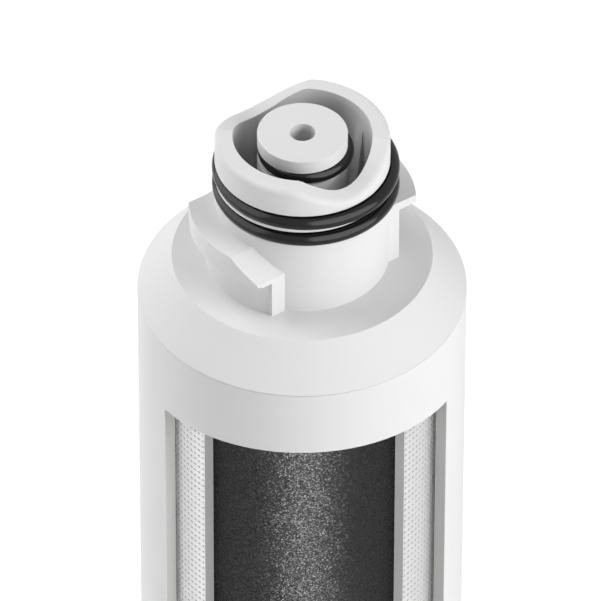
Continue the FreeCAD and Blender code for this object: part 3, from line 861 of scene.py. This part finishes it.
def crispRim(phase, outwards, settings):
    level, bottom, edge = settings["level"], settings["bottomRound"], settings["edgeRound"]
    fallStart = settings["fallStart"] + settings["fallSpread"] * outwards
    fall = level + settings["fallSlope"] * (phase - fallStart)
    rise = level + settings["riseSlope"] * (phase - settings["riseEnd"])
    hollow = max(fall, rise) + max(bottom - abs(fall - rise), 0.0) ** 2 / (4.0 * bottom)
    return min(level, hollow) - max(edge - abs(level - hollow), 0.0) ** 2 / (4.0 * edge)


# Height of a point once the collar is stretched, foot kept, from the solid's rim to the crisp one
def raised(x, y, z, settings):
    outwards = math.hypot(x, y) - settings["bore"]
    if z <= settings["foot"] or outwards < 0.0:
        return z
    phase = (math.degrees(math.atan2(y, x)) - settings["middle"] + 90.0) % 180.0 - 90.0
    solid = solidRim(phase, settings)
    share = (z - settings["foot"]) / (solid - settings["foot"])
    return z + share * (crispRim(phase, outwards, settings) - solid)


def makeHeadCap(settings):
    source = nodes["head_cap"].data
    normals = [corner.vector.copy() for corner in source.corner_normals]
    mesh = bmesh.new()
    mesh.from_mesh(source)
    bmesh.ops.remove_doubles(
        mesh, verts=mesh.verts, dist=settings["mergeDistance"] * millimetre)
    openEdges = openEdgeCount(mesh)
    data = bpy.data.meshes.new("waved_head_cap")
    mesh.to_mesh(data)
    mesh.free()
    print("waved_head_cap:", len(data.polygons), "faces,", openEdges, "open edges")
    places = [tuple(c / millimetre for c in vert.co) for vert in data.vertices]
    slopes, step = [], settings["slopeStep"]
    for x, y, z in places:
        height = raised(x, y, z, settings)
        slopes.append((
            (raised(x + step, y, z, settings) - height) / step,
            (raised(x, y + step, z, settings) - height) / step,
            (raised(x, y, z + step, settings) - height) / step,
        ))
    for vert, (x, y, z) in zip(data.vertices, places):
        vert.co.z = raised(x, y, z, settings) * millimetre
    # The solid's own normals lean with the new slopes, so round and crisp edges stay as they are
    for number, loop in enumerate(data.loops):
        alongX, alongY, alongZ = slopes[loop.vertex_index]
        old = normals[number]
        up = old.z / alongZ
        normals[number] = Vector((old.x - alongX * up, old.y - alongY * up, up)).normalized()
    data.normals_split_custom_set(normals)
    data.materials.append(whitePolypropylene)
    data.polygons.foreach_set("material_index", [0] * len(data.polygons))
    piece = bpy.data.objects.new("waved_head_cap", data)
    bpy.context.scene.collection.objects.link(piece)
    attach(piece, "root")
    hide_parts("head_cap")


makeHeadCap(rimSettings)


# Lamps stand round the neck and point at the seam. Azimuths and elevations in degrees in the
# model's frame, lengths in metres, power in watts. A lamp doesn't light the pieces it spares.
lampDefaults = {"distance": 1.6, "width": 0.9}
lightSettings = {
    "overhead": {"azimuth": 357.3, "elevation": 88.0, "power": 3.7},
    "backLeft": {"azimuth": 117.3, "elevation": 35.0, "power": 4.6},
    "sideLeftLow": {"azimuth": 155.3, "elevation": 20.0, "power": 10.6},
    "sideLeftHigh": {"azimuth": 155.3, "elevation": 50.0, "power": 10.3},
    "edgeLeft": {
        "azimuth": 212.3, "elevation": 15.0, "power": 4.5,
        "spares": ["embossed_fleece_sleeve"],
    },
    "frontLow": {
        "azimuth": 280.0, "elevation": 8.0, "power": 2.6,
        "spares": ["embossed_fleece_sleeve"],
    },
    "frontRight": {
        "azimuth": 302.3, "elevation": 10.0, "power": 5.0,
        "spares": ["embossed_fleece_sleeve", "pressed_carbon_block"],
    },
    "sideRightLow": {
        "azimuth": 327.3, "elevation": 20.0, "power": 15.2,
        "spares": ["embossed_fleece_sleeve", "pressed_carbon_block"],
    },
    "sideRightHigh": {"azimuth": 342.3, "elevation": 45.0, "power": 7.1},
}


def makeLight(name, settings):
    settings = {**lampDefaults, **settings}
    data = bpy.data.lights.new(name, "AREA")
    data.shape = "ELLIPSE"
    data.size = settings["width"]
    data.size_y = settings.get("height", settings["width"])
    data.energy = settings["power"]
    light = bpy.data.objects.new(name, data)
    back = directionFromSeam(
        math.radians(settings["azimuth"]), math.radians(settings["elevation"]))
    light.location = Vector((0.0, 0.0, seamHeight)) + back * settings["distance"]
    light.rotation_euler = back.to_track_quat("Z", "Y").to_euler()
    light.visible_camera = False
    light.visible_glossy = False
    bpy.context.scene.collection.objects.link(light)
    return light


def collectionOf(name, pieceNames):
    collection = bpy.data.collections.new(name)
    for pieceName in pieceNames:
        collection.objects.link(bpy.data.objects[pieceName])
    return collection


for name, settings in lightSettings.items():
    lamp = makeLight(name, settings)
    if "spares" in settings:
        spared = collectionOf(name, settings["spares"])
        for entry in spared.collection_objects:
            entry.light_linking.link_state = "EXCLUDE"
        lamp.light_linking.receiver_collection = spared


# Lamps for single pieces. The fleece lies back in the cut-away, so it has a broad front lamp.
# The others only show as gloss: a tall lamp on each side of the seals, with a dark gap between
# them, and a small one low down that the carbon's grains catch.
seals = ["neck_seal_upper", "neck_seal_lower", "stem_seal"]
pieceLamps = {
    "fleeceFront": {
        "azimuth": 264.0, "elevation": 12.0, "power": 31.0,
        "distance": 1.2, "width": 2.6, "height": 2.0,
        "lights": ["embossed_fleece_sleeve"],
    },
    "carbonLow": {
        "azimuth": 270.8, "elevation": -36.0, "power": 43.0,
        "distance": 1.2, "width": 0.26,
        "lights": ["pressed_carbon_block"], "gloss": True,
    },
    "sealRight": {
        "azimuth": 312.0, "elevation": 12.0, "power": 100.0,
        "distance": 1.5, "width": 2.4, "height": 4.4,
        "lights": seals, "gloss": True,
    },
    "sealLeft": {
        "azimuth": 178.0, "elevation": 12.0, "power": 60.0,
        "distance": 1.5, "width": 2.4, "height": 4.4,
        "lights": seals, "gloss": True,
    },
}
for name, settings in pieceLamps.items():
    lamp = makeLight(name, settings)
    lit = collectionOf(name, settings["lights"])
    lamp.light_linking.receiver_collection = lit
    if settings.get("gloss"):
        lamp.light_linking.blocker_collection = lit
        lamp.visible_diffuse = False
        lamp.visible_glossy = True
print("Lamps:", len(lightSettings) + len(pieceLamps))


# 1 for camera, glossy and transmission rays, which see the plain white set
def seenDirectly(tree):
    path = addNode(tree, "ShaderNodeLightPath")
    glossy = addNode(tree, "ShaderNodeMath", {"operation": "MAXIMUM"},
                     {0: path.outputs["Is Camera Ray"], 1: path.outputs["Is Glossy Ray"]})
    every = addNode(tree, "ShaderNodeMath", {"operation": "MAXIMUM"},
                    {0: glossy.outputs[0], 1: path.outputs["Is Transmission Ray"]})
    return every.outputs[0]


worldStrength = 0.02


def makeWorld(strength):
    world = bpy.data.worlds.new("whiteStudio")
    world.use_nodes = True
    tree = world.node_tree
    tree.nodes.clear()
    level = addNode(tree, "ShaderNodeMapRange", None,
                    {"Value": seenDirectly(tree), "To Min": strength, "To Max": 1.0})
    background = addNode(tree, "ShaderNodeBackground", None,
                         {"Color": fromHex("#FFFFFF"), "Strength": level.outputs["Result"]})
    addNode(tree, "ShaderNodeOutputWorld", None, {"Surface": background.outputs[0]})
    bpy.context.scene.world = world


makeWorld(worldStrength)


floorSettings = {
    "half": 3.0,  # metres from the axis to each side
    "colour": "#E6E6E6",
    "lift": 0.21,  # glow that brings the paper up to the white of the set
}


def makeFloor(settings):
    half = settings["half"]
    mesh = bpy.data.meshes.new("floor")
    corners = [(-half, -half, 0.0), (half, -half, 0.0), (half, half, 0.0), (-half, half, 0.0)]
    mesh.from_pydata(corners, [], [(0, 1, 2, 3)])
    floor = bpy.data.objects.new("floor", mesh)
    bpy.context.scene.collection.objects.link(floor)
    material = bpy.data.materials.new("whitePaperFloor")
    material.use_nodes = True
    tree = material.node_tree
    tree.nodes.clear()
    paper = addNode(tree, "ShaderNodeBsdfDiffuse", None, {"Color": fromHex(settings["colour"])})
    lift = addNode(tree, "ShaderNodeMath", {"operation": "MULTIPLY"},
                   {0: seenDirectly(tree), 1: settings["lift"]})
    glow = addNode(tree, "ShaderNodeEmission", None,
                   {"Color": fromHex("#FFFFFF"), "Strength": lift.outputs[0]})
    both = addNode(tree, "ShaderNodeAddShader", None, {0: paper.outputs[0], 1: glow.outputs[0]})
    addNode(tree, "ShaderNodeOutputMaterial", None, {"Surface": both.outputs[0]})
    mesh.materials.append(material)


makeFloor(floorSettings)
print("Set in place")
